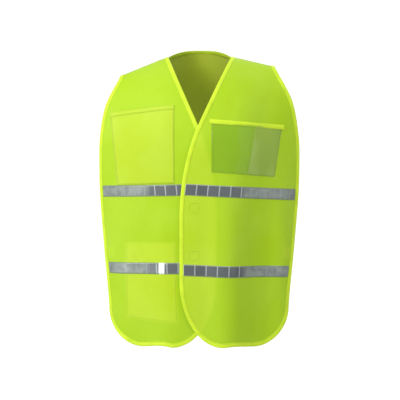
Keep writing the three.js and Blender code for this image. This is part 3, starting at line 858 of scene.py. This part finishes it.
# Corners as (across, z): top inner, top outer, low inner, low outer.
CHEST_POCKET = np.array([(54, -120), (205, -134), (52, -295.4), (185, -299.6)]) * MM
INNER_POCKET = np.array([(51, -427), (166, -429), (45, -607), (162, -598)]) * MM
ID_WINDOW = np.array([(30, -152), (190, -163), (30, -271), (172, -281)]) * MM
POCKET_HEM = 10 * MM
ID_BINDING_WIDTH = 11 * MM
ID_BINDING_OVERHANG = 4 * MM


def within(corners, across, z):
    """1 inside four corners, 0 outside them."""
    top_in, top_out, low_in, low_out = corners
    t = (across - top_in[0]) / (top_out[0] - top_in[0])
    top = mix(top_in[1], top_out[1], t)
    low = mix(low_in[1], low_out[1], t)
    s = (z - low) / (top - low)
    inner = mix(low_in[0], top_in[0], s)
    outer = mix(low_out[0], top_out[0], s)
    return within_sides(across, inner, outer, z, low, top, 4 * MM)


def strap_shade(side, across, z):
    """1 where a side strap is sewn behind the cloth, 0 elsewhere; there the cloth is painted lighter."""
    from_edge, half = side.half(z) - across, STRAP_WIDTH / 2
    sewn_to = STRAP_INSET + STRAP_SEWN
    return within_sides(from_edge, -0.1, sewn_to, z, STRAP_Z - half, STRAP_Z + half, 5 * MM)


def left_front_layer_light(p, pts):
    """Painted light: how much lighter the wearer's left front is painted where another layer lies behind
    it, the other front and the strap.
    """
    x, z = pts[..., 0], pts[..., 2]
    over = 0.6 * smooth((-free_edge(z) - x) / (9 * MM) + 0.5)
    return np.maximum(over, 0.5 * strap_shade(LEFT, p, z))


def right_front_layer_light(p, pts):
    # Painted light: lighter where the inner pocket and the strap lie behind the cloth.
    z = pts[..., 2]
    return np.maximum(0.85 * within(INNER_POCKET, p, z), 0.3 * strap_shade(RIGHT, p, z))


def back_layer_light(_, pts):
    # Painted light: lighter where a strap lies behind the back.
    x, z = pts[..., 0], pts[..., 2]
    return np.where(x > 0, strap_shade(LEFT, np.abs(x), z), strap_shade(RIGHT, np.abs(x), z))


def cloth_panel(name, panel, parts, inwards, top_line, layer_light_at):
    p, q = cloth_grid(panel, parts, inwards * CLOTH_INSET, top_line)
    pts = panel.points(p, q)
    middle = p.shape[1] // 2
    v = np.broadcast_to(length_of(pts[:, middle])[:, None], p.shape)
    # How much lighter the cloth is painted, as light through the layers behind it.
    layers = {"double_layer_light": layer_light_at(p, pts)}
    return slab(name, panel, p, q, CLOTH_IN, CLOTH_OUT, MATERIALS["cloth"], layers, np.stack([p, v], -1))


def even_edge(panel, parts, step):
    """The joined edges with points about a step apart."""
    p, q = joined(parts)
    return evenly(panel, p, q, steps_along(panel, p, q, step))


def edge_binding(name, panel, parts, inwards):
    return binding(name, panel, *even_edge(panel, parts, 1.6 * MM), inwards)


def binding_seam(panel, parts, inwards):
    """The two faces of the seam that holds a binding on."""
    p, q = aside(panel, *even_edge(panel, parts, 2 * MM), inwards * 0.85 * BINDING_WIDTH)
    line = panel, p[2:-2], q[2:-2]
    return [run_on(*line, 1.5 * MM), run_under(*line, -0.42 * MM)]


# ---------- Pieces on the panels ----------


def line_between(panel, a, b, count=80):
    """A line between two (across, z) points on a panel."""
    t = np.linspace(0, 1, count)
    return panel.at(mix(a[0], b[0], t), mix(a[1], b[1], t))


TAPE_CLEAR = BINDING_WIDTH - 0.8 * MM  # from an edge to the end of a tape, tucked under the binding
TAPE_RISES = np.linspace(0.5, -0.5, 9) * TAPE_WIDTH  # rows of a tape, off its middle line


def tape_strip(name, panel, p, q, layers):
    """Reflective tape over a grid of a panel's points, and its two seams."""
    rows = len(p)
    u = length_of(panel.points(p[rows // 2], q[rows // 2]))
    v = np.linspace(0, TAPE_WIDTH, rows)
    uv = np.stack(np.broadcast_arrays(u[None, :], v[:, None]), -1)
    bulge = 0.15 * MM * np.sin(np.linspace(0, math.pi, rows))[:, None] + 0 * p
    high = ON_CLOTH + 0.45 * MM + bulge
    obj = slab(name, panel, p, q, ON_CLOTH, high, MATERIALS["reflective"], layers, uv)
    seams = []
    for share in (0.06, 0.94):
        row = int(share * (rows - 1))
        part = share * (rows - 1) - row
        line = mix(p[row], p[row + 1], part), mix(q[row], q[row + 1], part)
        seams.append(run_on(panel, *line, ON_CLOTH + 0.5 * MM))
    return obj, seams


def tape(name, panel, heights, glare_from, glint_at=0):
    """Reflective tape across a front, its ends at the bindings.

    It has a painted reflection from glare_from outwards and, if glint_at is given, a painted highlight
    there."""
    inner_z, outer_z = heights
    t = np.linspace(0, 1, 150)
    rows = []
    for rise in TAPE_RISES:
        start = front_edge(inner_z + rise) + TAPE_CLEAR
        end = panel.side.half(outer_z + rise) - TAPE_CLEAR
        rows.append(panel.at(mix(start, end, t), mix(inner_z, outer_z, t) + rise))
    p, q = np.array(rows).transpose(1, 0, 2)
    glint = clamp01(2.5 * bump((p - glint_at) / (9 * MM))) if glint_at else 0 * p
    layers = {"glare": smooth((p - glare_from) / (12 * MM)), "glint": glint}
    return tape_strip(name, panel, p, q, layers)


def piece_grid(panel, corners, step=3 * MM):
    """A grid over four (across, z) corners of a piece on a panel.

    It returns its (across, down) points, their places on the cloth and their shares down and across."""
    top_in, top_out, low_in, low_out = corners
    columns = int((top_out[0] - top_in[0]) / step) + 2
    rows = int((top_in[1] - low_in[1]) / step) + 2
    t = np.linspace(0, 1, rows)[:, None, None]
    u = np.linspace(0, 1, columns)[None, :, None]
    both = mix(mix(top_in, top_out, u), mix(low_in, low_out, u), t)
    p, q = panel.at(both[..., 0], both[..., 1])
    return p, q, both * [1, -1], t[..., 0] + 0 * u[..., 0], u[..., 0] + 0 * t[..., 0]


def pocket_piece(name, grid, low, rise, thick, rounded):
    """Pocket cloth of some thickness on the right front, rounded off towards its rim."""
    p, q, uv, t, _ = grid
    # Pocket cloth is painted lighter all over, as light through two layers.
    layers = {"double_layer_light": 1 + 0 * t}
    high = low + thick + rise - rounded
    return slab(name, RIGHT_FRONT, p, q, low + rise, high, MATERIALS["pocket"], layers, uv)


def pocket_bag(name, corners, low, puff=0.0):
    """A pocket on the right front. puff lifts it in the middle, most near its open top."""
    grid = piece_grid(RIGHT_FRONT, corners)
    t, u = grid[3:]
    rise = puff * np.sin(math.pi * u) * (1 - t) ** 1.5
    rim = np.minimum(np.minimum(u, 1 - u), 1 - t)
    tucked = 0.18 * MM * smooth(1 - rim / 0.03)
    return pocket_piece(name, grid, low, rise, POCKET_THICK, tucked)


def seam_round(panel, corners, height):
    """Seams inside the sides and bottom of a four-cornered piece."""
    inset = 2.5 * MM
    top_in, top_out, low_in, low_out = corners
    a, b = top_in + [inset, 0], top_out - [inset, 0]
    c, d = low_in + [inset, inset], low_out + [-inset, inset]
    return [run_on(panel, *line_between(panel, *line), height) for line in ((a, c), (c, d), (d, b))]


def ribbon(name, centres, ups, width, thickness, material):
    """A flat band along centre points, with its width along ups."""
    along = unit(np.gradient(centres, axis=0))
    out = unit(np.cross(along, ups)) * thickness / 2
    rows = np.linspace(0.5, -0.5, 9)
    top = np.stack([centres + ups * r * width + out for r in rows])
    low = np.stack([centres + ups * r * width - out for r in rows])
    u = length_of(centres)
    uv = np.stack(np.broadcast_arrays(u[None, :], (rows * width)[:, None]), -1)
    return shell(name, top, low, MATERIALS[material], uv=uv)


# ---------- The vest ----------

SEAMS = {"back": [], "left_front": [], "right_front": []}


def goes_with(obj, body):
    """A piece of the back rides on it; a front's piece has its place baked into its mesh."""
    if body == "back":
        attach(obj, "back")
    else:
        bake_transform(obj)
    return obj


def piece(obj, body, node):
    """A piece that goes with a body and stands in for a CAD node, which it hides."""
    goes_with(obj, body)
    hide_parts(node)
    return obj


def build_front(side_name, panel, upper_z, lower_z, layer_light_at):
    """A front's cloth, binding and tapes. Returns the cloth and the binding."""
    name = side_name + "_front"
    parts = front_outline(panel)
    hand = panel.side.hand
    cloth = cloth_panel(name + "_cloth", panel, parts, hand, shoulder_line, layer_light_at)
    piece(cloth, name, name + "_panel")
    bound = edge_binding(name + "_edge_fold", panel, parts, hand)
    piece(bound, name, name + "_edge_binding")
    SEAMS[name] += binding_seam(panel, parts, hand)
    # Painted reflection on the tapes from this far out, and a painted highlight on the right lower tape.
    glare_from = (95 if hand > 0 else 105) * MM
    upper, upper_seams = tape(name + "_upper_reflector", panel, upper_z, glare_from)
    glint_at = 81 * MM if hand < 0 else 0
    lower, lower_seams = tape(name + "_lower_reflector", panel, lower_z, glare_from, glint_at)
    piece(upper, name, name + "_upper_tape")
    piece(lower, name, name + "_lower_tape")
    SEAMS[name] += upper_seams + lower_seams
    return cloth, bound


right_cloth, right_fold = build_front(
    "right", RIGHT_FRONT, RIGHT_UPPER_TAPE, RIGHT_LOWER_TAPE, right_front_layer_light
)
left_cloth, left_fold = build_front(
    "left", LEFT_FRONT, LEFT_UPPER_TAPE, LEFT_LOWER_TAPE, left_front_layer_light
)

# The back and its bindings
back_parts = back_outline(BACK)
back_cloth = cloth_panel("back_cloth", BACK, back_parts, 1, back_top_line, back_layer_light)
piece(back_cloth, "back", "back_panel")
back_fold = edge_binding("back_edge_fold", BACK, back_parts, 1)
piece(back_fold, "back", "back_edge_binding")
SEAMS["back"] += binding_seam(BACK, back_parts, 1)
neck = np.linspace(-NECK_SHARE, NECK_SHARE, 140) * CHEST_HALF
neck_line = evenly(BACK, neck, 0 * neck, 130)
neck_fold = binding("back_neck_fold", BACK, *neck_line, 1, width=7.5 * MM, material="neck_binding")
piece(neck_fold, "back", "back_neck_binding")


def back_tape(name, z):
    """Reflective tape across the back, from binding to binding."""
    rows = []
    for at in z + TAPE_RISES:
        ends = TAPE_CLEAR - RIGHT.half(at), LEFT.half(at) - TAPE_CLEAR
        rows.append(BACK.at(np.linspace(*ends, 260), at))
    p, q = np.array(rows).transpose(1, 0, 2)
    # Painted reflection on the back tape beyond 130 mm from the middle.
    glare = {"glare": smooth((np.abs(p) - 130 * MM) / (12 * MM))}
    obj, seams = tape_strip(name + "_reflector", BACK, p, q, glare)
    SEAMS["back"] += seams
    return piece(obj, "back", name + "_tape")


back_tape("back_upper", BACK_UPPER_TAPE_Z)
back_tape("back_lower", BACK_LOWER_TAPE_Z)

# The wearer's right front: an open chest pocket outside, a pocket inside, and loop patches
pocket = pocket_bag("right_chest_pocket_cloth", CHEST_POCKET, ON_CLOTH, POCKET_PUFF)
piece(pocket, "right_front", "right_chest_pocket")
SEAMS["right_front"] += seam_round(RIGHT_FRONT, CHEST_POCKET, ON_CLOTH + 0.5 * MM)

pocket_in, pocket_out = CHEST_POCKET[:2]
hem_low = ON_CLOTH + 0.5 * MM


def pocket_hem():
    """The turned hem along the chest pocket's mouth, which stands off with the pocket."""
    below_in, below_out = pocket_in - [0, POCKET_HEM], pocket_out - [1 * MM, POCKET_HEM]
    grid = piece_grid(RIGHT_FRONT, [pocket_in, pocket_out, below_in, below_out], 2 * MM)
    t, u = grid[3:]
    rise = POCKET_PUFF * np.sin(math.pi * u)
    rounded = 0.2 * MM * smooth(1 - np.minimum(t, 1 - t) / 0.25)
    return pocket_piece("right_chest_pocket_hem_cloth", grid, hem_low, rise, 0.55 * MM, rounded)


piece(pocket_hem(), "right_front", "right_chest_pocket_hem")
seam_drop = -8.2 * MM
hem_ends = pocket_in + [1 * MM, seam_drop], pocket_out + [-2 * MM, seam_drop]
hem_line = line_between(RIGHT_FRONT, *hem_ends, 120)
hem_rise = POCKET_PUFF * np.sin(math.pi * np.linspace(0, 1, 120))
hem_height = (hem_low + 0.6 * MM + hem_rise)[:, None]
SEAMS["right_front"].append(run_on(RIGHT_FRONT, *hem_line, hem_height))

inner_pocket = pocket_bag("right_inner_pocket_cloth", INNER_POCKET, UNDER_CLOTH - POCKET_THICK)
piece(inner_pocket, "right_front", "right_inner_pocket")
SEAMS["right_front"] += seam_round(RIGHT_FRONT, INNER_POCKET, CLOTH_OUT + 0.05 * MM)


def fastener(name, panel, across, z, low, material):
    """A square of hook or loop tape with rounded corners."""
    half = FASTENER_SIZE / 2
    steps = np.linspace(-1, 1, 25)
    u, v = np.meshgrid(steps, steps)
    # The square grid's corners are drawn in a little to round them.
    pull = 1 - 0.06 * (u * v) ** 4
    p, q = panel.at(across + half * u * pull, z - half * v * pull)
    edge = np.maximum(np.abs(u), np.abs(v))
    high = low + FASTENER_THICK - 0.5 * MM * smooth((edge - 0.9) / 0.1)
    uv = np.stack([u * half, v * half], -1)
    return slab(name, panel, p, q, low, high, MATERIALS[material], uv=uv)


def square_seam(panel, across, z, height):
    """The seam round a square of hook or loop tape."""
    half = FASTENER_SIZE / 2 - 1.8 * MM
    turns = [(-1, 1), (1, 1), (1, -1), (-1, -1)]
    corners = [(across + half * a, z + half * b) for a, b in turns]
    runs = []
    for a, b in zip(corners, corners[1:] + corners[:1]):
        runs.append(run_on(panel, *line_between(panel, a, b, 20), height))
    return runs


for level, z in FASTENER_HEIGHTS.items():
    loop = fastener(level + "_loop_square", RIGHT_FRONT, -FASTENER_X, z, ON_CLOTH, "loop")
    piece(loop, "right_front", level + "_loop_patch")
    SEAMS["right_front"] += square_seam(RIGHT_FRONT, -FASTENER_X, z, ON_CLOTH + 0.8 * MM)
    hook = fastener(level + "_hook_square", LEFT_FRONT, FASTENER_X, z, UNDER_CLOTH - FASTENER_THICK, "hook")
    piece(hook, "left_front", level + "_hook_patch")
    SEAMS["left_front"] += square_seam(LEFT_FRONT, FASTENER_X, z, CLOTH_OUT + 0.08 * MM)


# The wearer's left front: a clear pocket for a card, its mouth bound
def card_window():
    """The clear sheet, bulging off the cloth with shallow waves in it."""
    p, q, uv, t, u = piece_grid(LEFT_FRONT, ID_WINDOW)
    arch, fall = np.sin(math.pi * u), np.sin(math.pi * t)
    rise = 2.6 * MM * arch**0.8 * np.sin(math.pi * (0.12 + 0.88 * t)) ** 0.7
    wave = 0.9 * MM * np.sin(u * 9 + 2) * fall + 0.5 * MM * np.sin(t * 7 + u * 4) * arch
    low = ON_CLOTH + (rise + wave * arch * fall)
    return slab("id_pocket_vinyl", LEFT_FRONT, p, q, low, low + 0.35 * MM, MATERIALS["vinyl"], uv=uv)


piece(card_window(), "left_front", "id_pocket_window")
SEAMS["left_front"] += seam_round(LEFT_FRONT, ID_WINDOW, ON_CLOTH + 0.75 * MM)

top_in = ID_WINDOW[0] - [ID_BINDING_OVERHANG, 0]
top_out = ID_WINDOW[1] + [ID_BINDING_OVERHANG, 0]
mouth = line_between(LEFT_FRONT, top_in, top_out, 110)
fold_name = "id_pocket_mouth_fold"
mouth_fold = binding(fold_name, LEFT_FRONT, *mouth, -1, lift=1.1, width=ID_BINDING_WIDTH)
piece(mouth_fold, "left_front", "id_pocket_binding")
seam_drop = -9.2 * MM
mouth_ends = top_in + [2 * MM, seam_drop], top_out + [-2 * MM, seam_drop]
mouth_line = line_between(LEFT_FRONT, *mouth_ends, 110)
SEAMS["left_front"].append(run_on(LEFT_FRONT, *mouth_line, 2.7 * MM))


def side_strap(name, front):
    """Elastic from one panel's inside to the other's, with a little slack across the open side."""
    x = front.side.half(STRAP_Z) - np.linspace(STRAP_INSET + STRAP_SEWN, STRAP_INSET, 8)
    z = np.full_like(x, STRAP_Z)
    off = np.full_like(x, UNDER_CLOTH - 1.3 * MM)
    sewn_front = place(front, *front.at(x, z), off)
    sewn_back = place(BACK, *BACK.at(front.side.hand * x[::-1], z), off)
    t = np.linspace(0, 1, 30)[1:-1, None]
    a, b = sewn_front[-1], sewn_back[0]
    reach = 6 * MM
    past_a = a + unit(a - sewn_front[-2]) * reach
    past_b = b + unit(b - sewn_back[1]) * reach
    free = (1 - t) ** 3 * a + 3 * (1 - t) ** 2 * t * past_a + 3 * (1 - t) * t * t * past_b + t**3 * b
    path = np.concatenate([sewn_front, free, sewn_back])
    ups = np.broadcast_to([0.0, 0.0, 1.0], path.shape)
    return ribbon(name, path, ups, STRAP_WIDTH, 1.1 * MM, "elastic")


FRONTS = (("right", RIGHT_FRONT), ("left", LEFT_FRONT))
for side_name, front in FRONTS:
    strap = side_strap(side_name + "_side_elastic", front)
    # The strap is sewn to the back behind its middle and to the front ahead of it.
    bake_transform(strap)
    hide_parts(side_name + "_side_strap")


def shoulder_seam(name, panel):
    """The narrow tape under a shoulder seam, bent over it."""
    side = panel.side
    across = np.linspace(NECK_HALF + 16 * MM, side.shoulder_half - 16 * MM, 60)
    share = (across - NECK_HALF) / (side.shoulder_half - NECK_HALF)
    on_back = side.hand * mix(NECK_SHARE, 1, share) * CHEST_HALF
    lines = [(panel, across, down) for down in (0.024, 0.016, 0.008, 0.0)]
    lines += [(BACK, on_back, down) for down in (0.010, 0.020, 0.030)]
    faces = []
    for height in (-0.15 * MM, -0.95 * MM):
        faces.append(np.array([place(form, p, np.full_like(p, down), height) for form, p, down in lines]))
    uv = np.stack(np.broadcast_arrays(across[None, :], np.linspace(0, 9 * MM, 7)[:, None]), -1)
    return shell(name, *faces, MATERIALS["binding"], uv=uv)


for side_name, front in FRONTS:
    seam = shoulder_seam(side_name + "_shoulder_tape", front)
    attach(seam, "back")
    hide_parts(side_name + "_shoulder_seam_tape")
    across = np.linspace(NECK_HALF + 2 * MM, front.side.shoulder_half - 3 * MM, 120)
    SEAMS["back"].append(run_on(front, across, np.full_like(across, 0.02), CLOTH_OUT + 0.05 * MM))

for body, runs in SEAMS.items():
    goes_with(stitches(body + "_seams", runs), body)


# ---------- Studio ----------


def plain(name, grey, glow):
    """A matt grey that gives off white light of its own."""
    inputs = {"Base Color": (grey, grey, grey, 1), "Roughness": 0.9}
    inputs |= {"Emission Strength": glow, "Emission Color": (1, 1, 1, 1)}
    return Nodes(name).finish(inputs)


def studio_room():
    """A wide pale floor and pale walls, with the wall behind the vest lit to white."""
    floor_z, reach, top = -2.0, 4.6, 4.0
    corners = [(-reach, -reach), (reach, -reach), (reach, reach), (-reach, reach)]
    points = [(x, y, z) for z in (floor_z, top) for x, y in corners]
    sides = [(i, (i + 1) % 4, (i + 1) % 4 + 4, i + 4) for i in (3, 0, 1)]
    pale = plain("studio", 0.5, 0.2)
    room = new_object("studio_floor", points, [(0, 1, 2, 3)] + sides, pale, smooth_faces=False)
    bright = plain("studio_backdrop", 0.3, 0.9)
    return room, new_object("studio_wall", points, [(2, 3, 7, 6)], bright, smooth_faces=False)


MIDDLE = Vector((0, -0.05, -0.32))  # of the vest, where every light is aimed


def area_light(name, location, size, power):
    """A rectangular light of some watts, aimed at the middle of the vest."""
    data = bpy.data.lights.new(name, "AREA")
    data.shape = "RECTANGLE"
    data.size, data.size_y = size
    data.energy = power
    light = bpy.data.objects.new(name, data)
    bpy.context.scene.collection.objects.link(light)
    light.location = location
    light.rotation_mode = "QUATERNION"
    light.rotation_quaternion = (MIDDLE - Vector(location)).to_track_quat("-Z", "Y")


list(studio_room())
area_light("key", (-1.6, -1.5, 0.7), (1.0, 1.2), 35)
area_light("low", (-1.9, -1.1, -1.0), (0.9, 0.9), 8)
area_light("rear", (0.9, 2.2, 1.7), (1.6, 1.2), 30)
area_light("fill", (1.7, -1.6, 0.0), (1.2, 1.8), 5)
area_light("top", (0.3, -0.8, 1.4), (1.6, 0.9), 13)

scene = bpy.context.scene
world = bpy.data.worlds.new("studio")
world.use_nodes = True
background = world.node_tree.nodes["Background"]
background.inputs["Color"].default_value = (1, 1, 1, 1)
background.inputs["Strength"].default_value = 0.3
scene.world = world

scene.view_settings.view_transform = "Standard"
camera_data = bpy.data.cameras.new("camera")
camera = bpy.data.objects.new("camera", camera_data)
scene.collection.objects.link(camera)
camera.location = (0.08, -2.45, -0.27)
camera.rotation_euler = (math.pi / 2, 0, 0)
camera_data.sensor_width = 36
camera_data.lens = 94.05
camera_data.shift_x = -0.0848
camera_data.shift_y = -0.07
scene.camera = camera
